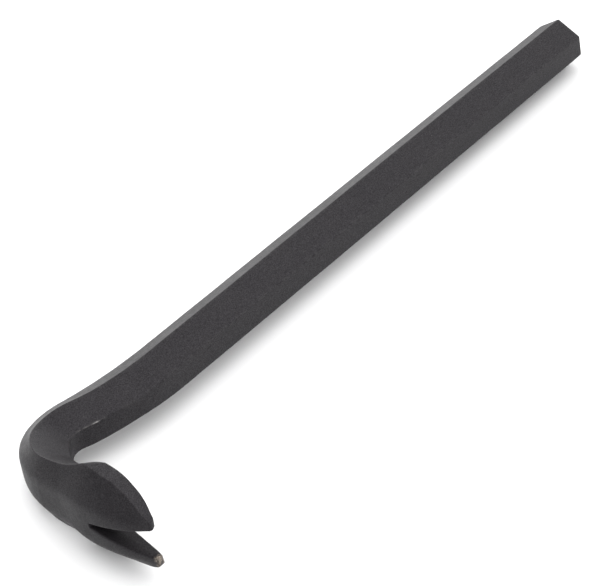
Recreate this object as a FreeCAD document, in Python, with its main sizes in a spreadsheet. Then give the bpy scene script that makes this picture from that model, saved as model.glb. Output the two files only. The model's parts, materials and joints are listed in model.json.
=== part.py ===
import FreeCAD, Part
import math
import os

import Sketcher

# Forged nail-pulling pry bar, made in one piece from hexagonal steel bar.
# The hook lies in the body's XY plane: +X runs along the shank to its plain struck end,
# +Y is the outer (heel) side of the hook and +Z is the side that faces up when it lies down.
# All lengths are millimetres and all angles are degrees.

NODE = "forged_bar"

# The hexagonal shank and the centre line that the bar follows through the hook.
BAR = {
    "shank_length": 236.8,
    "half_flats": 9.5,
    "half_corners_far": 9.7,
    "half_corners_near": 9.9,
    "half_flat_far": 4.05,
    "half_flat_near": 4.5,
    "lead_length": 16,
    "neck_radius": 143,
    "neck_angle": 14,
    "neck_straight": 5.2,
    "bend_radius": 20.5,
    "bend_angle": 94,
    "claw_radius": 336,
    "claw_angle": 8.5,
}

# Outline of the claw seen square on, measured from the prong tips back towards the heel.
CLAW = {
    "view_along": 0.72,
    "tip_half_width": 8.401,
    "corner_half_width": 9.81,
    "corner_length": 0.842,
    "corner_radius": 1.6,
    "shoulder_half_width": 18.1,
    "shoulder_length": 31,
    "side_radius": 70,
    "slot_mouth": 5.8,
    "slot_root": 1.0,
    "root_radius": 1.05,
    "slot_length": 24.0,
    "waste_half_width": 40,
    "waste_ahead": 12,
}

# The softened edge of the struck end.
FINISH = {
    "end_round": 1.2,
}

# The pose in which the bar lies on its side, on its struck end, its heel and the claw's shoulder.
REST = {
    "rest_roll": -10.015,
    "rest_pitch": 0.546,
}

SECTION_KEYS = ("crown", "flat", "edge", "wide", "under", "base", "hollow")

# Sections of the forged head, in order from the neck to the prong tips: the part of the
# centre line that each is on, how far along that part it is, and its seven sizes.
# crown, edge, under and hollow are heights from the centre line to the outer face, the side
# corner, the inner corner and the middle of the inner face; flat, wide and base are the half
# widths of the outer face, of the side corners and of the inner face.
HEAD = (
    ("neck", "neck", 0.5, (9.8, 4.2, 0.1, 9.3, 9.9, 3.7, 9.9)),
    ("throat", "bend", 0.0, (9.3, 4.0, 0.3, 9.6, 8.9, 3.9, 8.9)),
    ("elbow", "bend", 0.33, (9.4, 4.0, 1.7, 10.2, 7.7, 3.6, 7.6)),
    ("heel", "bend", 0.67, (8.1, 5.0, 2.9, 12.4, 8.7, 4.5, 8.1)),
    ("palm", "claw", 0.0, (6.8, 6.2, 3.3, 13.6, 7.6, 5.0, 6.7)),
    ("fan", "claw", 0.2, (6.3, 6.6, 1.7, 14.6, 4.6, 10.5, 4.2)),
    ("shoulder", "claw", 0.45, (6.8, 7.5, -1.3, 18.8, 5.2, 16.9, 3.5)),
    ("prong", "claw", 0.72, (5.4, 7.5, -3.6, 18.6, 6.8, 18.2, 2.6)),
    ("nose", "claw", 0.9, (3.1, 7.3, -0.4, 13.5, 3.9, 13.0, 1.4)),
    ("tip", "claw", 1.0, (1.2, 7.2, 1.0, 12.0, 1.3, 11.4, 0.9)),
)


def all_dimensions():
    """Every driving dimension under the name that its spreadsheet cell gets."""
    values = {}
    for group in (BAR, CLAW, FINISH, REST):
        values.update(group)
    for name, _, along, sizes in HEAD:
        values[name + "_along"] = along
        for key, value in zip(SECTION_KEYS, sizes):
            values[name + "_" + key] = value
    return values


SIZES = all_dimensions()


def fill_sheet(document):
    """A spreadsheet with one named cell for each driving dimension."""
    sheet = document.addObject("Spreadsheet::Sheet", "Sizes")
    for row, (alias, value) in enumerate(SIZES.items(), start=1):
        sheet.set("A%d" % row, alias)
        sheet.set("B%d" % row, str(value))
        sheet.setAlias("B%d" % row, alias)
    document.recompute()


def size(reference):
    """The number that a signed cell name such as "-heel_under" stands for."""
    if reference == "0":
        return 0.0
    if reference.startswith("-"):
        return -size(reference[1:])
    return float(SIZES[reference])


def formula(reference):
    """The expression for a signed cell name."""
    if reference.startswith("-"):
        return "-Sizes." + reference[1:]
    return "Sizes." + reference


def new_sketch(body, name, role):
    """An empty sketch on one of the body's own origin planes."""
    sketch = body.newObject("Sketcher::SketchObject", name)
    plane = next(item for item in body.Origin.OriginFeatures if item.Role == role)
    sketch.AttachmentSupport = [(plane, "")]
    sketch.MapMode = "FlatFace"
    return sketch


def tie_point(sketch, geometry, end, corner):
    """Ties one end of an edge to the cells that hold its two coordinates."""
    for kind, axis, reference in (("DistanceX", -2, corner[0]), ("DistanceY", -1, corner[1])):
        if reference == "0":
            sketch.addConstraint(Sketcher.Constraint("PointOnObject", geometry, end, axis))
            continue
        tie = Sketcher.Constraint(kind, -1, 1, geometry, end, size(reference))
        index = sketch.addConstraint(tie)
        sketch.setExpression("Constraints[%d]" % index, formula(reference))


def arc_between(start, end, radius):
    """An arc from start to end: counter-clockwise, or clockwise if the radius is negative."""
    chord = end - start
    sagitta = abs(radius) - math.sqrt(radius**2 - (chord.Length / 2) ** 2)
    outward = FreeCAD.Vector(chord.y, -chord.x, 0).normalize() * math.copysign(sagitta, radius)
    return Part.Arc(start, (start + end) / 2 + outward, end)


def draw_outline(sketch, corners, arcs=None):
    """A closed outline through corners given as cell names, of straight edges and arcs."""
    arcs = arcs or {}
    points = [FreeCAD.Vector(size(across), size(up), 0) for across, up in corners]
    following = points[1:] + points[:1]
    ends = []
    for index, (start, end) in enumerate(zip(points, following)):
        edge = Part.LineSegment(start, end)
        if index in arcs:
            edge = arc_between(start, end, size(arcs[index]))
        sketch.addGeometry(edge, False)
        clockwise = index in arcs and size(arcs[index]) < 0
        ends.append((2, 1) if clockwise else (1, 2))
    for index, corner in enumerate(corners):
        after = (index + 1) % len(corners)
        meeting = Sketcher.Constraint("Coincident", index, ends[index][1], after, ends[after][0])
        sketch.addConstraint(meeting)
        tie_point(sketch, index, ends[index][0], corner)
    for index, reference in arcs.items():
        radius = reference.lstrip("-")
        row = sketch.addConstraint(Sketcher.Constraint("Radius", index, size(radius)))
        sketch.setExpression("Constraints[%d]" % row, formula(radius))


def arc_end(start, radius, heading, turn, sign):
    """Expressions for the end of an arc of the centre line and for its heading there."""
    after = "(%s + %s)" % (heading, turn)
    across = "%s - %s * %s * (sin(%s) - sin(%s))" % (start[0], sign, radius, after, heading)
    up = "%s + %s * %s * (cos(%s) - cos(%s))" % (start[1], sign, radius, after, heading)
    return ("(%s)" % across, "(%s)" % up), after


def centre_line(segment, along):
    """Expressions for a point on the centre line and for the heading of the bar there."""
    share = along if segment == "neck" else "1"
    turn = "(-Sizes.neck_angle * %s)" % share
    point, heading = arc_end(("0", "0"), "Sizes.neck_radius", "0", turn, "-1")
    if segment == "neck":
        return point, heading
    across = "(%s - Sizes.neck_straight * cos(%s))" % (point[0], heading)
    up = "(%s - Sizes.neck_straight * sin(%s))" % (point[1], heading)
    share = along if segment == "bend" else "1"
    turn = "Sizes.bend_angle * %s" % share
    point, heading = arc_end((across, up), "Sizes.bend_radius", heading, turn, "1")
    if segment == "bend":
        return point, heading
    turn = "Sizes.claw_angle * %s" % along
    return arc_end(point, "Sizes.claw_radius", heading, turn, "1")


def stand_on_centre_line(sketch, point, heading):
    """Moves a sketch of the YZ plane to a point of the centre line and turns it."""
    sideways = FreeCAD.Vector(0, 1, 0)
    sketch.AttachmentOffset = FreeCAD.Placement(FreeCAD.Vector(), FreeCAD.Rotation(sideways, 1))
    sketch.setExpression("AttachmentOffset.Base.z", point[0])
    sketch.setExpression("AttachmentOffset.Base.x", point[1])
    sketch.setExpression("AttachmentOffset.Rotation.Angle", heading)


def shank_section(body, name, corners, flat, distance, split):
    """A hexagon across the shank; split gives its inner flat a corner in the middle."""
    sketch = new_sketch(body, name, "YZ_Plane")
    outline = [
        ("half_flats", flat),
        ("0", corners),
        ("-half_flats", flat),
        ("-half_flats", "-" + flat),
        ("0", "-" + corners),
        ("half_flats", "-" + flat),
    ]
    if split:
        outline.insert(3, ("-half_flats", "0"))
    draw_outline(sketch, outline)
    sketch.setExpression("AttachmentOffset.Base.z", distance)
    return sketch


def head_section(body, name, segment):
    """One seven-cornered section across the forged head."""
    sketch = new_sketch(body, name + "_section", "YZ_Plane")
    crown, flat, edge, wide, under, base, hollow = (name + "_" + key for key in SECTION_KEYS)
    outline = [
        (crown, flat),
        (edge, wide),
        ("-" + under, base),
        ("-" + hollow, "0"),
        ("-" + under, "-" + base),
        (edge, "-" + wide),
        (crown, "-" + flat),
    ]
    draw_outline(sketch, outline)
    point, heading = centre_line(segment, "Sizes.%s_along" % name)
    stand_on_centre_line(sketch, point, heading)
    return sketch


def loft(body, name, sections, ruled):
    """A loft that adds the solid through a row of sections."""
    feature = body.newObject("PartDesign::AdditiveLoft", name)
    feature.Profile = sections[0]
    feature.Sections = sections[1:]
    feature.Ruled = ruled
    return feature


def make_shank(body):
    """The straight hexagonal shank, from its struck end to just short of the neck."""
    far = ("half_corners_far", "half_flat_far", "Sizes.shank_length")
    near = ("half_corners_near", "half_flat_near", "Sizes.lead_length")
    sections = [
        shank_section(body, "struck_end_section", *far, split=False),
        shank_section(body, "shank_section", *near, split=False),
    ]
    return loft(body, "shank", sections, ruled=True)


def make_head(body):
    """The neck, the bend and the fanned claw, still with its rough edge."""
    near = ("half_corners_near", "half_flat_near")
    sections = [
        shank_section(body, "lead_section", *near, "Sizes.lead_length", split=True),
        shank_section(body, "middle_section", *near, "Sizes.lead_length / 2", split=True),
        shank_section(body, "root_section", *near, "0", split=True),
    ]
    for name, segment, _, _ in HEAD:
        sections.append(head_section(body, name, segment))
    return loft(body, "head", sections, ruled=False)


def square_on_sketch(body, name):
    """A sketch square on the claw: its X axis runs back from the prong tips to the heel."""
    sketch = new_sketch(body, name, "YZ_Plane")
    tips, _ = centre_line("claw", "1")
    _, heading = centre_line("claw", "Sizes.view_along")
    stand_on_centre_line(sketch, tips, heading + " - 90")
    return sketch


def trim_claw(body):
    """Cuts the rough edge of the claw to its outline and opens the V slot between the prongs."""
    sketch = square_on_sketch(body, "claw_outline")
    outline = [
        ("shoulder_length", "shoulder_half_width"),
        ("corner_length", "corner_half_width"),
        ("0", "tip_half_width"),
        ("0", "slot_mouth"),
        ("slot_length", "slot_root"),
        ("slot_length", "-slot_root"),
        ("0", "-slot_mouth"),
        ("0", "-tip_half_width"),
        ("corner_length", "-corner_half_width"),
        ("shoulder_length", "-shoulder_half_width"),
        ("shoulder_length", "-waste_half_width"),
        ("-waste_ahead", "-waste_half_width"),
        ("-waste_ahead", "waste_half_width"),
        ("shoulder_length", "waste_half_width"),
    ]
    draw_outline(sketch, outline, {
        0: "side_radius",
        1: "corner_radius",
        4: "-root_radius",
        7: "corner_radius",
        8: "side_radius",
    })
    volume = body.Shape.Volume
    cut = body.newObject("PartDesign::Pocket", "claw_trim")
    cut.Profile = sketch
    cut.Type = "ThroughAll"
    cut.SideType = "Symmetric"
    body.Document.recompute()
    if body.Shape.Volume > volume - 1:
        raise RuntimeError("the trim of the claw cut nothing")


def round_edges(body, name, radius, chosen):
    """Rounds the edges of the body that a test picks out."""
    base = body.Tip
    names = [
        "Edge%d" % number
        for number, edge in enumerate(base.Shape.Edges, start=1)
        if all(chosen(vertex.Point) for vertex in edge.Vertexes)
    ]
    fillet = body.newObject("PartDesign::Fillet", name)
    fillet.Base = (base, names)
    fillet.setExpression("Radius", formula(radius))
    body.Document.recompute()


def round_struck_end(body):
    """Takes the sharp edge off the plain end that is struck with a hammer."""
    end = size("shank_length")
    round_edges(body, "struck_end_round", "end_round", lambda point: abs(point.x - end) < 0.01)


def lay_down(body):
    """Lays the bar on its side, with the origin under the middle of its box."""
    roll = FreeCAD.Rotation(FreeCAD.Vector(1, 0, 0), size("rest_roll"))
    pitch = FreeCAD.Rotation(FreeCAD.Vector(0, 1, 0), size("rest_pitch"))
    body.Placement = FreeCAD.Placement(FreeCAD.Vector(), pitch.multiply(roll))
    body.Document.recompute()
    box = body.Shape.optimalBoundingBox()
    body.Placement.Base = FreeCAD.Vector(-box.Center.x, -box.Center.y, -box.ZMin)
    body.Document.recompute()


def check(document, body):
    """Stops the script if anything in the document failed."""
    for item in document.Objects:
        if "Invalid" in item.State or "Error" in item.State:
            raise RuntimeError("%s failed: %s" % (item.Name, item.State))
    shape = body.Shape
    if shape.isNull() or not shape.isValid() or len(shape.Solids) != 1:
        raise RuntimeError("%s is not one valid solid" % body.Label)


def main():
    document = FreeCAD.newDocument("pry_bar")
    fill_sheet(document)
    body = document.addObject("PartDesign::Body", NODE)
    body.Label = NODE
    make_shank(body)
    document.recompute()
    make_head(body)
    document.recompute()
    trim_claw(body)
    round_struck_end(body)
    lay_down(body)
    check(document, body)
    os.makedirs("parts", exist_ok=True)
    body.Shape.exportStep("parts/%s.step" % body.Label)
    box = body.Shape.optimalBoundingBox()
    print("%s: %.0f mm3, box %.1f x %.1f x %.1f mm" % (
        body.Label, body.Shape.Volume, box.XLength, box.YLength, box.ZLength
    ))


main()
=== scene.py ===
import json
import math

import bpy
import numpy as np
from mathutils import Matrix, Vector, noise


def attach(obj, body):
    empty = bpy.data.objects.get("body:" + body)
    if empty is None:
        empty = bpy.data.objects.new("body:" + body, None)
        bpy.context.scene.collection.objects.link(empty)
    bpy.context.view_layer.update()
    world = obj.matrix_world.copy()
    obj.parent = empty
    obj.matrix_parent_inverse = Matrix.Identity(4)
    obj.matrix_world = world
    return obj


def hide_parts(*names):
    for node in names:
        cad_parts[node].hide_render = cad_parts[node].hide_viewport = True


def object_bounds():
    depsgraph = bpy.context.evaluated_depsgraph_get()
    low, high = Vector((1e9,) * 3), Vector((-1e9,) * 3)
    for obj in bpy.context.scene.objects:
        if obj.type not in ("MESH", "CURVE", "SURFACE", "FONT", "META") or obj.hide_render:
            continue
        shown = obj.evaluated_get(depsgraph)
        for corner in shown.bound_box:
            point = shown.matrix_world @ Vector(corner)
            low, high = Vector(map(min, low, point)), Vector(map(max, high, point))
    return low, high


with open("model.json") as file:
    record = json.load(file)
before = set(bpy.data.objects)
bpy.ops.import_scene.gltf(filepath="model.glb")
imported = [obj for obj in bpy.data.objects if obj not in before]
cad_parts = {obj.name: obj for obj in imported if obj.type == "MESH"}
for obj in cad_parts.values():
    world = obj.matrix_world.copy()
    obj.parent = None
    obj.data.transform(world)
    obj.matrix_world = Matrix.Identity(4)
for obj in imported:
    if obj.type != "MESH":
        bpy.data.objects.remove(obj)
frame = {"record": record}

# Looks for a forged pry bar. The bar is one piece of steel, so one mesh stands for the one CAD
# node. It is swept along the same centre line and through the same sections as the CAD solid,
# and adds what forging leaves: softened edges, a smooth crown on the claw, a bevelled slot.
# Lengths are in millimetres up to the point where the mesh is made; angles are in degrees.

CAD_NODE = "forged_bar"
CAD_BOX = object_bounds()

MM = 0.001
SHANK_LENGTH = 236.8
REST_ROLL = -10.015
REST_PITCH = 0.546

# The centre line past the shank: length and curvature of each part of it.
NECK = (143.0 * math.radians(14.0), -1 / 143.0)
STRAIGHT = (5.2, 0.0)
BEND = (20.5 * math.radians(94.0), 1 / 20.5)
CLAW = (336.0 * math.radians(8.5), 1 / 336.0)
PARTS = (NECK, STRAIGHT, BEND, CLAW)
BEND_START = NECK[0] + STRAIGHT[0]
CLAW_START = BEND_START + BEND[0]
TIP = CLAW_START + CLAW[0]

# Sections along the centre line: distance along it, then crown, flat, edge, wide, under, base
# and hollow as in the CAD part, and how softly the outer face turns into the slopes beside it.
SECTIONS = (
    (-SHANK_LENGTH, 9.5, 4.05, 0.0, 9.7, 9.5, 4.05, 9.5, 0.16),
    (-16.0, 9.5, 4.5, 0.0, 9.9, 9.5, 4.5, 9.5, 0.16),
    (0.0, 9.5, 4.5, 0.0, 9.9, 9.5, 4.5, 9.5, 0.16),
    (NECK[0] * 0.5, 9.8, 4.2, 0.1, 9.3, 9.9, 3.7, 9.9, 0.2),
    (BEND_START, 9.3, 4.0, 0.3, 9.6, 8.9, 3.9, 8.9, 0.3),
    (BEND_START + BEND[0] * 0.33, 9.4, 4.0, 1.7, 10.2, 7.7, 3.6, 7.6, 0.4),
    (BEND_START + BEND[0] * 0.67, 8.1, 5.0, 2.9, 12.4, 8.7, 4.5, 8.1, 0.6),
    (CLAW_START, 6.8, 6.2, 3.3, 13.6, 7.6, 5.0, 6.7, 0.8),
    (CLAW_START + CLAW[0] * 0.2, 6.3, 6.6, 1.7, 14.6, 4.6, 10.5, 4.2, 0.9),
    (CLAW_START + CLAW[0] * 0.45, 6.8, 7.5, -1.3, 18.8, 5.2, 16.9, 3.5, 0.9),
    (CLAW_START + CLAW[0] * 0.72, 5.4, 7.5, -3.6, 18.6, 6.8, 18.2, 2.6, 0.9),
    (CLAW_START + CLAW[0] * 0.9, 3.1, 7.3, -0.4, 13.5, 3.9, 13.0, 1.4, 0.8),
    (TIP, 1.2, 7.2, 1.0, 12.0, 1.3, 11.4, 0.9, 0.7),
)

# Outline of the claw seen square on, measured back from the prong tips.
VIEW_ALONG = 0.72
SIDE_CENTRE, SIDE_RADIUS = (34.005, -51.835), 70.0
CORNER_CENTRE, CORNER_RADIUS, CORNER_LENGTH = (1.6, 8.401), 1.6, 0.842
SHOULDER_LENGTH = 31.0
SLOT_MOUTH, SLOT_ROOT, SLOT_LENGTH, ROOT_RADIUS = 5.8, 1.0, 24.0, 1.05
ROOT_CENTRE = SLOT_LENGTH - math.sqrt(ROOT_RADIUS**2 - SLOT_ROOT**2)
ROOT_END = ROOT_CENTRE + ROOT_RADIUS
BEVEL_AT_ROOT, BEVEL_AT_MOUTH, BEVEL_RUN_IN = 1.25, 0.5, 3.0

# Rounding of the struck end, of the prong tips and of the corners around each section.
HALF_FLATS = 9.5
END_ROUND = 1.2
TIP_ROUND = 0.5
THINNEST_TIP = 0.4
EDGE_SOFTNESS = 0.2

# The burr that hammering leaves on one corner by the struck end: how much it swells the bar,
# where its middle is, how far it spreads along the bar, and the direction of the corner.
BURR_SWELL, BURR_AT, BURR_SPREAD = 0.1, 3.8, 2.6
BURR_UP, BURR_ACROSS = 0.87, -0.5

# Unevenness of the forged skin: size of the swells, their depth on the shank and what the head
# adds to it, and how far the skin is lowered on average to stay within the CAD part's box.
BROAD_SIZE, BROAD_DEPTH, BROAD_ON_HEAD = 17.0, 0.05, 0.12
FINE_SIZE, FINE_DEPTH, FINE_ON_HEAD = 3.1, 0.018, 0.03
SKIN_LOWERED, LOWERED_ON_HEAD = 0.04, 0.06
HEAD_FROM, HEAD_BLEND = 12, 30
FINE_SHIFT = (7, 3, 5)

# Points around half a section: outer face, slope, side, under-slope, inner face, slot wall.
COUNTS = (7, 14, 8, 12, 9)
WALL_POINTS = 9
BUNCHING = 0.8
STEP, SHORTEST_STEP = 0.05, 0.02

# Rings of points along the bar: their spacing on the shank and on the head, the distances back
# from the tips of the last ones, the gap kept round the slot's root, and the end face's rings.
SHANK_SPACING, HEAD_SPACING = 1.3, 0.6
TIP_ZONE = 2.8
TIP_RINGS = (2.6, 2.2, 1.8, 1.45, 1.15, 0.9, 0.68, 0.48, 0.32, 0.19, 0.1, 0.04)
ROOT_GAP = 0.25
END_RINGS, END_WEAR = (0.985, 0.93, 0.8, 0.6, 0.35), 0.15
FAR_BEHIND = 99.0
TINY = 1e-6

# Finish values kept with each point of the mesh: worn corners, bare steel, the ground side
# walls of the claw, weaker reflection on the claw with painted shade on its slot's walls, and a
# painted highlight with a rubbed spot on one corner.
MARKS = ("wear", "bare", "ground", "dull_and_slot_shade", "rub_and_highlight")
WEAR_REACH = 2.5
SHANK_FACE_WEAR, SHANK_SIDE_WEAR, CLAW_SIDE_WEAR, INNER_WEAR = 0.4, 0.35, 0.15, 0.3
BARE_AT_TIP, BARE_FADE = 0.75, 2.0
GROUND_LENGTH = 34.0
DULL_START, DULL_RUN, DULL_ON_CLAW = BEND_START + 12, 16.0, 0.5
# Painted highlight along the upper inner corner before the bend: its middle, width across the
# corner and spread, then a fainter tail further along. Its bright end is also a rubbed spot.
RUB_HIGHLIGHT_AT, RUB_HIGHLIGHT_WIDTH, RUB_HIGHLIGHT_SPOT = BEND_START - 3.8, 1.3, 1.3
HIGHLIGHT_TAIL_AT, HIGHLIGHT_TAIL, HIGHLIGHT_TAIL_STRENGTH = RUB_HIGHLIGHT_AT + 5, 4.5, 0.22

# Colours of the finish, from the dark coat to bare steel, and the grey of a painted highlight
# with a rubbed spot on one corner.
COAT_DARK, COAT_LIGHT = (0.0085, 0.0078, 0.0088), (0.0125, 0.0115, 0.0125)
SPECK, WORN, RUBBED_AND_HIGHLIGHT = (0.16, 0.155, 0.15), (0.17, 0.165, 0.16), (0.36, 0.35, 0.34)
STEEL_DARK, STEEL_LIGHT = (0.16, 0.125, 0.095), (0.46, 0.41, 0.35)
SHEEN_TINT = (0.975, 0.93, 1.0, 1)
BLACK, WHITE = (0, 0, 0), (1, 1, 1)

# Where the camera and the lamps stand: azimuth and elevation in degrees, distance in metres.
CAMERA = {"azimuth": -139.14, "elevation": 42.76, "distance": 0.9012, "roll": -2.1}
CAMERA_AIM = (-0.02389, 0.00936, 0.0115)
CAMERA_LENS = 152.43
KEY = {"azimuth": 115, "elevation": 50, "distance": 1.6, "width": 1.6, "power": 3.0}
OVERHEAD = {"azimuth": 175, "elevation": 76, "distance": 1.0, "width": 1.0, "power": 2.4}
WORLD_STRENGTH, DIM_SIDE = 1.9, (-0.88, -0.42, -0.2)
FLOOR_REACH, FLOOR_GREY = 6.0, (0.86, 0.86, 0.86, 1)


def centre_line(along):
    """Position and heading of the centre line at distances along it from the neck's start."""
    along = np.asarray(along, float)
    x, y, heading = -np.minimum(along, 0), np.zeros_like(along), np.zeros_like(along)
    start = 0.0
    for length, curvature in PARTS:
        run = np.clip(along - start, 0, length)
        after = heading + curvature * run
        if curvature:
            x = x - (np.sin(after) - np.sin(heading)) / curvature
            y = y + (np.cos(after) - np.cos(heading)) / curvature
        else:
            x = x - run * np.cos(heading)
            y = y - run * np.sin(heading)
        heading = after
        start += length
    return x, y, heading


def through(knots, values, at):
    """A smooth curve through values given at knots, by cubic Hermite pieces."""
    slope = np.diff(values) / np.diff(knots)
    span = np.diff(knots)
    tangent = np.empty_like(values)
    tangent[0], tangent[-1] = slope[0], slope[-1]
    tangent[1:-1] = (slope[:-1] * span[1:] + slope[1:] * span[:-1]) / (span[1:] + span[:-1])
    piece = np.clip(np.searchsorted(knots, at) - 1, 0, len(knots) - 2)
    t = (at - knots[piece]) / span[piece]
    h = span[piece]
    return (
        (2 * t**3 - 3 * t**2 + 1) * values[piece]
        + (t**3 - 2 * t**2 + t) * h * tangent[piece]
        + (3 * t**2 - 2 * t**3) * values[piece + 1]
        + (t**3 - t**2) * h * tangent[piece + 1]
    )


def from_tips(along):
    """Distance back from the prong tips, seen square on the claw."""
    x, y, _ = centre_line(along)
    tip_x, tip_y, _ = centre_line(TIP)
    _, _, heading = centre_line(CLAW_START + CLAW[0] * VIEW_ALONG)
    return (x - tip_x) * math.cos(heading) + (y - tip_y) * math.sin(heading)


def outline_half_width(back):
    """Half width of the claw's outline at a distance back from the tips."""
    if back > SHOULDER_LENGTH:
        return FAR_BEHIND
    if back < CORNER_LENGTH:
        across = CORNER_RADIUS**2 - (CORNER_CENTRE[0] - back) ** 2
        return CORNER_CENTRE[1] + math.sqrt(max(across, 0))
    return SIDE_CENTRE[1] + math.sqrt(SIDE_RADIUS**2 - (back - SIDE_CENTRE[0]) ** 2)


def slot_half_widths(back):
    """Half widths of the slot on the outer face and on the inner face."""
    if back >= ROOT_END:
        return 0.0, 0.0
    share = max(back, 0) / SLOT_LENGTH
    if back > SLOT_LENGTH:
        outer = math.sqrt(max(ROOT_RADIUS**2 - (back - ROOT_CENTRE) ** 2, 0))
    else:
        outer = SLOT_MOUTH + (SLOT_ROOT - SLOT_MOUTH) * share
    bevel = BEVEL_AT_MOUTH + (BEVEL_AT_ROOT - BEVEL_AT_MOUTH) * min(share, 1)
    ease = min((ROOT_END - back) / BEVEL_RUN_IN, 1)
    return outer, outer + bevel * ease * ease * (3 - 2 * ease)


def softplus(value):
    """A ramp from zero that turns smoothly where the value is zero."""
    return np.logaddexp(0, value)


def half_section(sizes, limit, slot):
    """The half of a section with z >= 0 as runs of points (height, z), from the outer face
    round to the inner face and, where there is a slot, back along its wall."""
    crown, flat, edge, wide, under, base, hollow, soft = sizes
    fall = (crown - edge) / (wide - flat)

    def outer(z):
        bend = softplus((z - flat) / soft) - softplus(-flat / soft)
        return crown - fall * soft * bend

    def inner(z):
        return -hollow - (under - hollow) * (z / base) ** 2

    reach = min(wide, limit)
    turn = min(base, reach)
    if wide <= limit:
        low = edge
    elif base < limit:
        low = edge - (edge + under) * (wide - reach) / (wide - base)
    else:
        low = inner(reach)
    face = np.linspace(slot[0], min(flat, reach), 60)
    slope = np.linspace(min(flat, reach), reach, 120)
    under_face = np.linspace(turn, min(slot[1], turn), 160)
    runs = [
        np.c_[outer(face), face],
        np.c_[outer(slope), slope],
        np.array([[outer(reach), reach], [low, reach]]),
        np.array([[low, reach], [inner(turn), turn]]),
        np.c_[inner(under_face), under_face],
    ]
    if slot[1] > 0:
        top, bottom = outer(slot[0]), inner(slot[1])
        middle = top + (bottom - top) * 0.5
        runs.append(np.array([[bottom, slot[1]], [middle, slot[0]], [top, slot[0]]]))
    return runs


def spread(length, count):
    """Steps that divide a length into count parts, shorter near its two ends."""
    t = np.linspace(0, 1, count + 1)
    return np.diff(t - BUNCHING * np.sin(2 * math.pi * t) / (2 * math.pi)) * length


def ring(sizes, limit, slot):
    """Half a section with softened corners, as rows of height and z."""
    runs = half_section(sizes, limit, slot)
    closed = slot[1] > 0
    lengths = [np.hypot(*np.diff(run, axis=0).T).sum() for run in runs]
    line = np.vstack([runs[0]] + [run[1:] for run in runs[1:]])
    gaps = np.hypot(*np.diff(line, axis=0).T)
    line = line[np.r_[True, gaps > 1e-9]]
    arc = np.r_[0, np.cumsum(np.hypot(*np.diff(line, axis=0).T))]
    total = arc[-1]
    samples = max(int(round(total / STEP)), 40)
    even = np.linspace(0, total, samples + 1)
    points = np.c_[np.interp(even, arc, line[:, 0]), np.interp(even, arc, line[:, 1])]
    step = total / samples
    reach = int(4 * EDGE_SOFTNESS / step)
    kernel = np.exp(-0.5 * (np.arange(-reach, reach + 1) * step / EDGE_SOFTNESS) ** 2)
    kernel /= kernel.sum()
    if closed:
        before, after = points[-reach - 1:-1], points[1:reach + 1]
    else:
        flip = np.array([1, -1])
        before, after = points[reach:0:-1] * flip, points[-2:-reach - 2:-1] * flip
    padded = np.vstack([before, points, after])
    smooth = np.c_[
        np.convolve(padded[:, 0], kernel, "valid"),
        np.convolve(padded[:, 1], kernel, "valid"),
    ]
    counts = COUNTS + ((WALL_POINTS,) if closed else ())
    steps = np.concatenate([spread(length, count) for length, count in zip(lengths, counts)])
    steps = np.maximum(steps, SHORTEST_STEP)
    places = np.r_[0, np.cumsum(steps)] * (total / steps.sum())
    result = np.c_[np.interp(places, even, smooth[:, 0]), np.interp(places, even, smooth[:, 1])]
    return result[:-1] if closed else result


def burr(along, height, z):
    """How far hammering has swollen one corner of the bar near its struck end."""
    facing = (BURR_UP * height + BURR_ACROSS * z) / max(math.hypot(height, z), 0.01)
    nearness = math.exp(-((along + SHANK_LENGTH - BURR_AT) / BURR_SPREAD) ** 2)
    return 1 + BURR_SWELL * max(facing, 0.0) ** 6 * nearness


def stations():
    """Distances along the centre line of the rings of points, and that of the slot's root."""
    turn = np.radians(np.linspace(90, 0, 8))
    end = -SHANK_LENGTH + END_ROUND * (1 - np.sin(turn))
    shank = np.arange(-SHANK_LENGTH + 2 * END_ROUND, -1, SHANK_SPACING)
    head = np.arange(0, CLAW_START, HEAD_SPACING)
    claw = np.arange(CLAW_START, TIP - TIP_ZONE, HEAD_SPACING)
    grid = np.linspace(CLAW_START, TIP, 400)
    back = from_tips(grid)

    def at(distances):
        return np.interp(-np.asarray(distances), -back, grid)

    phi = np.radians(np.linspace(0, 80, 8))
    root = at(ROOT_CENTRE + ROOT_RADIUS * np.cos(phi))
    tip = at(TIP_RINGS)
    claw = claw[(claw < root[0] - ROOT_GAP) | (claw > root[-1] + ROOT_GAP)]
    return np.concatenate([end, shank, head, np.sort(np.r_[claw, root]), tip]), root[0]


class Builder:
    """Collects the points, faces and finish values of the bar's mesh."""

    def __init__(self):
        self.points = []
        self.faces = []
        self.marks = {name: [] for name in MARKS}

    def add(self, point, *values):
        self.points.append(point)
        for name, value in zip(MARKS, values + (0.0,) * len(MARKS)):
            self.marks[name].append(value)
        return len(self.points) - 1

    def row(self, station, section, side, first, last):
        """A stretch of one side's points around a section."""
        return [
            self.add(on_bar(station, height, side * z), *marks_of(first + k, station[0], side))
            for k, (height, z) in enumerate(section[first:last])
        ]

    def bridge(self, first, second, closed=False):
        """Quads between two rows of as many points."""
        last = len(first) if closed else len(first) - 1
        for k in range(last):
            n = (k + 1) % len(first)
            self.faces.append((first[k], first[n], second[n], second[k]))


def on_bar(station, height, z):
    """A point of a section, in the bar's own frame."""
    along, x, y, heading = station
    swell = burr(along, height, z)
    out = height * swell
    return (x - math.sin(heading) * out, y + math.cos(heading) * out, z * swell)


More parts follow.
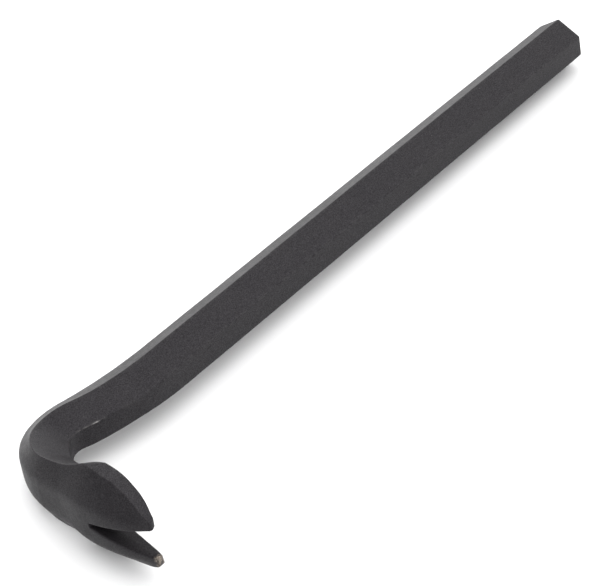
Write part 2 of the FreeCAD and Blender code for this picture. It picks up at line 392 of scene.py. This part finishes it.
def marks_of(index, along, side):
    """Finish values of a point from its place around the section and along the bar."""
    face_end, side_start, side_end, inner_start, wall_start = np.cumsum(COUNTS)
    near = [
        max(0.0, 1 - abs(index - corner) / WEAR_REACH)
        for corner in (face_end, side_start, side_end, inner_start)
    ]
    wear = SHANK_FACE_WEAR * near[0] * (along < BEND_START)
    wear += (CLAW_SIDE_WEAR if along > CLAW_START else SHANK_SIDE_WEAR) * near[1]
    wear += INNER_WEAR * (near[2] + near[3])
    back = TIP - along
    bare = max(0.0, BARE_AT_TIP - back / BARE_FADE) if side < 0 else 0.0
    ground = float(side_start < index < side_end and back < GROUND_LENGTH)
    dull_and_slot_shade = DULL_ON_CLAW * min(max((along - DULL_START) / DULL_RUN, 0.0), 1.0)
    # The slot's walls get the full mark: their much weaker reflection is painted shade in the
    # slot.
    dull_and_slot_shade = 1.0 if index > wall_start else dull_and_slot_shade * (index <= side_start)
    # Painted highlight along the upper inner corner near the bend, lightest at a rubbed spot.
    sharp = max(0.0, 1 - abs(index - inner_start) / RUB_HIGHLIGHT_WIDTH) if side > 0 else 0.0
    spot = math.exp(-((along - RUB_HIGHLIGHT_AT) / RUB_HIGHLIGHT_SPOT) ** 2)
    highlight_tail = math.exp(-((along - HIGHLIGHT_TAIL_AT) / HIGHLIGHT_TAIL) ** 2)
    rub_and_highlight = sharp * (spot + HIGHLIGHT_TAIL_STRENGTH * highlight_tail)
    return min(wear, 1.0), bare, ground, dull_and_slot_shade, rub_and_highlight


def section_at(along, table, slotted):
    """Half a section at a distance along the bar, and whether the slot cuts it."""
    sizes = [through(table[:, 0], column, np.array([along]))[0] for column in table.T[1:]]
    back = float(from_tips(along)) if along > CLAW_START else FAR_BEHIND
    slot = slot_half_widths(back) if slotted else (0.0, 0.0)
    section = ring(sizes, outline_half_width(back), slot)
    into_round = END_ROUND - along - SHANK_LENGTH
    if into_round > 0:
        inset = END_ROUND - math.sqrt(END_ROUND**2 - into_round**2)
        section = section * (1 - inset / HALF_FLATS)
    if back < TIP_ROUND:
        crown, hollow = sizes[0], sizes[6]
        middle = (crown - hollow) / 2
        squeeze = math.sqrt(1 - (1 - back / TIP_ROUND) ** 2)
        section[:, 0] = middle + (section[:, 0] - middle) * max(squeeze, THINNEST_TIP)
    return section, slot[1] > 0


def build_bar():
    """The bar's mesh in its own frame: x along the shank, y to the heel's side, z up."""
    table = np.array(SECTIONS)
    distances, root = stations()
    builder = Builder()
    half = sum(COUNTS)
    whole = None
    prongs = {}
    for station in zip(distances, *centre_line(distances)):
        along = station[0]
        section, slotted = section_at(along, table, along > root + TINY)
        if slotted:
            for side in (1, -1):
                loop = builder.row(station, section, side, 0, len(section))
                pair = (prongs[side], loop) if side > 0 else (loop, prongs[side])
                builder.bridge(*pair, closed=True)
                prongs[side] = loop
            continue
        up = builder.row(station, section, 1, 0, half + 1)
        down = [up[0]] + builder.row(station, section, -1, 1, half) + [up[-1]]
        if whole:
            builder.bridge(whole[0], up)
            builder.bridge(down, whole[1])
        else:
            close_end(builder, up, down, station[1])
        whole = (up, down)
        if abs(along - root) < TINY:
            wall = root_wall(builder, station, section[-1, 0], section[0, 0])
            prongs = {1: up + wall, -1: down + wall}
    for side, loop in prongs.items():
        close_tip(builder, loop, side)
    return builder


def root_wall(builder, station, low, high):
    """The line on the middle plane where the slot's wall starts, between the two faces."""
    heights = low + (high - low) * np.cumsum(spread(1.0, WALL_POINTS))[:-1]
    return [builder.add(on_bar(station, height, 0.0)) for height in heights]


def close_end(builder, up, down, x):
    """The flat struck end, as rings that shrink towards its middle."""
    outer = up + down[-2:0:-1]
    points = [np.array(builder.points[k]) for k in outer]
    for share in END_RINGS:
        inner = [builder.add((x, p[1] * share, p[2] * share), END_WEAR) for p in points]
        builder.bridge(inner, outer, True)
        outer = inner
    centre = builder.add((x, 0.0, 0.0))
    for k in range(len(outer)):
        builder.faces.append((outer[k], outer[(k + 1) % len(outer)], centre)[::-1])


def close_tip(builder, loop, side):
    """The thin end of a prong, closed between its outer and inner face."""
    _, side_start, side_end, _, wall_start = np.cumsum(COUNTS)
    top = loop[:side_start + 1]
    bottom = loop[side_end:wall_start + 1][::-1]
    outer_side = loop[side_start:side_end + 1]
    slot_side = loop[wall_start:] + [loop[0]]
    if side > 0:
        builder.bridge(top, bottom)
        builder.faces.append(tuple(outer_side))
        builder.faces.append(tuple(slot_side))
    else:
        builder.bridge(bottom, top)
        builder.faces.append(tuple(outer_side[::-1]))
        builder.faces.append(tuple(slot_side[::-1]))


def body_matrix():
    """From the bar's own frame, in metres, to the row frame."""
    turn = Matrix.Rotation(math.radians(REST_PITCH), 3, "Y")
    turn = turn @ Matrix.Rotation(math.radians(REST_ROLL), 3, "X")
    mounts = {mount["name"]: mount for mount in frame["record"]["mounts"]}
    end = Vector(mounts["struck_end"]["pos_m"])
    origin = end - turn @ Vector((SHANK_LENGTH * MM, 0, 0))
    return Matrix.Translation(origin) @ turn.to_4x4()


def make_bar():
    """The bar as a Blender object that stands for the CAD node."""
    builder = build_bar()
    mesh = bpy.data.meshes.new("pry_bar")
    mesh.from_pydata([tuple(MM * c for c in p) for p in builder.points], [], builder.faces)
    mesh.update()
    for name, values in builder.marks.items():
        layer = mesh.attributes.new(name, "FLOAT", "POINT")
        layer.data.foreach_set("value", np.array(values, np.float32))
    roughen(mesh)
    mesh.transform(body_matrix())
    keep_inside(mesh, CAD_BOX)
    mesh.shade_smooth()
    bar = bpy.data.objects.new("pry_bar", mesh)
    bpy.context.scene.collection.objects.link(bar)
    return bar


def roughen(mesh):
    """The slight unevenness that forging leaves, by moving points along their normals."""
    mesh.update()
    normals = [vertex.normal.copy() for vertex in mesh.vertices]
    for vertex, normal in zip(mesh.vertices, normals):
        p = vertex.co / MM
        head = min(max((HEAD_FROM - p.x) / HEAD_BLEND, 0.0), 1.0)
        broad = noise.noise(p / BROAD_SIZE) * (BROAD_DEPTH + BROAD_ON_HEAD * head)
        fine = noise.noise(p / FINE_SIZE + Vector(FINE_SHIFT))
        fine *= FINE_DEPTH + FINE_ON_HEAD * head
        lowered = SKIN_LOWERED + LOWERED_ON_HEAD * head
        vertex.co += normal * (broad + fine - lowered) * MM
    mesh.update()


def keep_inside(mesh, box):
    """Holds the roughened skin within the CAD part's box."""
    low, high = box
    for vertex in mesh.vertices:
        vertex.co = [min(max(c, a), b) for c, a, b in zip(vertex.co, low, high)]
    mesh.update()


def new_material(name):
    """A material with its nodes and its links."""
    material = bpy.data.materials.new(name)
    material.use_nodes = True
    return material, material.node_tree.nodes, material.node_tree.links


def steel_finish():
    """Dark satin finish on forged steel: fine grain, a few bright specks, worn edges, a painted
    highlight on one corner and painted shade in the slot.
    """
    material, nodes, links = new_material("dark_forged_steel")
    shader = nodes["Principled BSDF"]

    def node(kind, **values):
        made = nodes.new(kind)
        for key, value in values.items():
            if key in made.inputs:
                made.inputs[key].default_value = value
            else:
                setattr(made, key, value)
        return made

    place = node("ShaderNodeTexCoord")
    scaled = node("ShaderNodeMapping")
    scaled.inputs["Scale"].default_value = (1 / MM,) * 3
    links.new(place.outputs["Object"], scaled.inputs["Vector"])

    def texture(kind, scale, output="Fac", **values):
        made = node(kind, Scale=scale, **values)
        links.new(scaled.outputs["Vector"], made.inputs["Vector"])
        return made.outputs[output]

    def ramp(source, stops):
        made = nodes.new("ShaderNodeValToRGB")
        elements = made.color_ramp.elements
        while len(elements) < len(stops):
            elements.new(0.5)
        for element, (position, colour) in zip(elements, stops):
            element.position = position
            element.color = (*colour, 1)
        links.new(source, made.inputs["Fac"])
        return made.outputs["Color"]

    def grey(low, high, source, start=0.35, end=0.65):
        return ramp(source, ((start, (low,) * 3), (end, (high,) * 3)))

    def maths(operation, first, second):
        made = node("ShaderNodeMath", operation=operation)
        for socket, value in zip(made.inputs, (first, second)):
            if isinstance(value, (int, float)):
                socket.default_value = value
            else:
                links.new(value, socket)
        return made.outputs[0]

    def mixed(share, first, second):
        made = node("ShaderNodeMix", data_type="RGBA")
        links.new(share, made.inputs[0])
        for socket, value in ((made.inputs[6], first), (made.inputs[7], second)):
            if isinstance(value, tuple):
                socket.default_value = (*value, 1)
            else:
                links.new(value, socket)
        return made.outputs[2]

    def mark(name):
        return node("ShaderNodeAttribute", attribute_name=name).outputs["Fac"]

    cloud = texture("ShaderNodeTexNoise", 0.055, Detail=3.0)
    mottle = texture("ShaderNodeTexNoise", 0.6, Detail=4.0, Roughness=0.6)
    grain = texture("ShaderNodeTexNoise", 2.6, Detail=5.0, Roughness=0.65)
    pits = texture("ShaderNodeTexVoronoi", 1.4, "Distance")
    specks = texture("ShaderNodeTexVoronoi", 0.42, "Distance")

    base = ramp(cloud, ((0.3, COAT_DARK), (0.7, COAT_LIGHT)))
    coarse = grey(0.55, 1.45, grain)
    tinted = node("ShaderNodeMix", data_type="RGBA", blend_type="MULTIPLY")
    tinted.inputs[0].default_value = 1.0
    links.new(base, tinted.inputs[6])
    links.new(coarse, tinted.inputs[7])
    speck = ramp(specks, ((0.035, WHITE), (0.06, BLACK)))
    speck = maths("MULTIPLY", speck, grey(0, 1, mottle, 0.55, 0.62))
    dusted = mixed(maths("MULTIPLY", speck, 0.55), tinted.outputs[2], SPECK)

    worn = maths("MULTIPLY", mark("wear"), grey(0.0, 1.0, mottle, 0.42, 0.62))
    worn = maths("MULTIPLY", worn, 0.3)
    edged = mixed(worn, dusted, WORN)
    bare = maths("MULTIPLY", mark("bare"), grey(0.05, 0.95, mottle, 0.42, 0.58))
    steel = ramp(grain, ((0.35, STEEL_DARK), (0.65, STEEL_LIGHT)))
    colour = mixed(bare, edged, steel)
    # Painted highlight on one corner, in light grey, lightest at a rubbed spot.
    rubbed_and_highlight = maths("MULTIPLY", mark("rub_and_highlight"), grey(0.2, 1.0, mottle, 0.4, 0.6))
    colour = mixed(rubbed_and_highlight, colour, RUBBED_AND_HIGHLIGHT)
    links.new(colour, shader.inputs["Base Color"])
    links.new(maths("MULTIPLY", bare, 0.85), shader.inputs["Metallic"])

    rough = maths("ADD", grey(0.40, 0.50, mottle), grey(-0.03, 0.05, cloud))
    links.new(rough, shader.inputs["Roughness"])
    shader.inputs["IOR"].default_value = 1.5
    shader.inputs["Specular Tint"].default_value = SHEEN_TINT
    gloss = maths("MULTIPLY", grey(0.13, 0.33, grain, 0.36, 0.64), grey(0.9, 1.1, mottle))
    # Reflection is weaker on the claw, and much weaker on the slot's walls as painted shade.
    shine_with_slot_shade = maths("SUBTRACT", 1.0, maths("MULTIPLY", mark("dull_and_slot_shade"), 0.55))
    links.new(maths("MULTIPLY", gloss, shine_with_slot_shade), shader.inputs["Specular IOR Level"])

    stripes = node("ShaderNodeTexWave", Scale=0.42, Distortion=1.2, Detail=3.0)
    stripes.bands_direction = "Y"
    stripes.inputs["Detail Scale"].default_value = 2.0
    links.new(scaled.outputs["Vector"], stripes.inputs["Vector"])
    hatch = maths("MULTIPLY", stripes.outputs["Fac"], mark("ground"))
    height = maths("ADD", maths("MULTIPLY", grain, 0.05), maths("MULTIPLY", mottle, 0.08))
    height = maths("ADD", height, maths("MULTIPLY", grey(0, 1, pits, 0.1, 0.3), 0.012))
    height = maths("ADD", height, maths("MULTIPLY", hatch, 0.02))
    bump = node("ShaderNodeBump", Strength=0.55, Distance=MM)
    links.new(height, bump.inputs["Height"])
    links.new(bump.outputs["Normal"], shader.inputs["Normal"])
    return material


def make_floor():
    """A plain pale floor that reaches past the camera's view."""
    mesh = bpy.data.meshes.new("floor")
    r = FLOOR_REACH
    mesh.from_pydata([(-r, -r, 0), (r, -r, 0), (r, r, 0), (-r, r, 0)], [], [(0, 1, 2, 3)])
    floor = bpy.data.objects.new("floor", mesh)
    bpy.context.scene.collection.objects.link(floor)
    material, nodes, _ = new_material("pale_floor")
    shader = nodes["Principled BSDF"]
    shader.inputs["Base Color"].default_value = FLOOR_GREY
    shader.inputs["Roughness"].default_value = 0.9
    shader.inputs["Specular IOR Level"].default_value = 0.2
    mesh.materials.append(material)


def area_light(name, azimuth, elevation, distance, width, power):
    """A soft square light that faces the bar."""
    light = bpy.data.lights.new(name, "AREA")
    light.size = width
    light.energy = power
    lamp = bpy.data.objects.new(name, light)
    lamp.matrix_world = looking_from(azimuth, elevation, distance, Vector())
    bpy.context.scene.collection.objects.link(lamp)


def looking_from(azimuth, elevation, distance, target, roll=0.0):
    """The placement of a camera or lamp that looks at a target from a direction."""
    a, e = math.radians(azimuth), math.radians(elevation)
    back = Vector((math.cos(e) * math.cos(a), math.cos(e) * math.sin(a), math.sin(e)))
    turn = back.to_track_quat("Z", "Y").to_matrix()
    turn = turn @ Matrix.Rotation(math.radians(roll), 3, "Z")
    return Matrix.Translation(target + back * distance) @ turn.to_4x4()


def make_studio():
    """Soft white light from all round, dimmer from beyond the hooked end, and two lamps."""
    scene = bpy.context.scene
    scene.view_settings.view_transform = "Standard"
    world = bpy.data.worlds.new("studio")
    scene.world = world
    world.use_nodes = True
    nodes, links = world.node_tree.nodes, world.node_tree.links
    direction = nodes.new("ShaderNodeTexCoord")
    towards = nodes.new("ShaderNodeVectorMath")
    towards.operation = "DOT_PRODUCT"
    towards.inputs[1].default_value = DIM_SIDE
    ramp = nodes.new("ShaderNodeValToRGB")
    bright, dim = ramp.color_ramp.elements
    bright.position, bright.color = 0.0, (*WHITE, 1)
    dim.position, dim.color = 0.8, (0.2, 0.2, 0.21, 1)
    background = nodes["Background"]
    background.inputs["Strength"].default_value = WORLD_STRENGTH
    links.new(direction.outputs["Generated"], towards.inputs[0])
    links.new(towards.outputs["Value"], ramp.inputs["Fac"])
    links.new(ramp.outputs["Color"], background.inputs["Color"])
    area_light("key", **KEY)
    area_light("overhead", **OVERHEAD)


def make_camera():
    """A long lens that looks down on the bar from its hooked end, on the prongs' side."""
    data = bpy.data.cameras.new("camera")
    data.sensor_width = 36
    data.lens = CAMERA_LENS
    data.clip_start = 0.01
    camera = bpy.data.objects.new("camera", data)
    camera.matrix_world = looking_from(**CAMERA, target=Vector(CAMERA_AIM))
    bpy.context.scene.collection.objects.link(camera)
    bpy.context.scene.camera = camera


bar = make_bar()
bar.data.materials.append(steel_finish())
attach(bar, "root")
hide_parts(CAD_NODE)
make_floor()
make_studio()
make_camera()
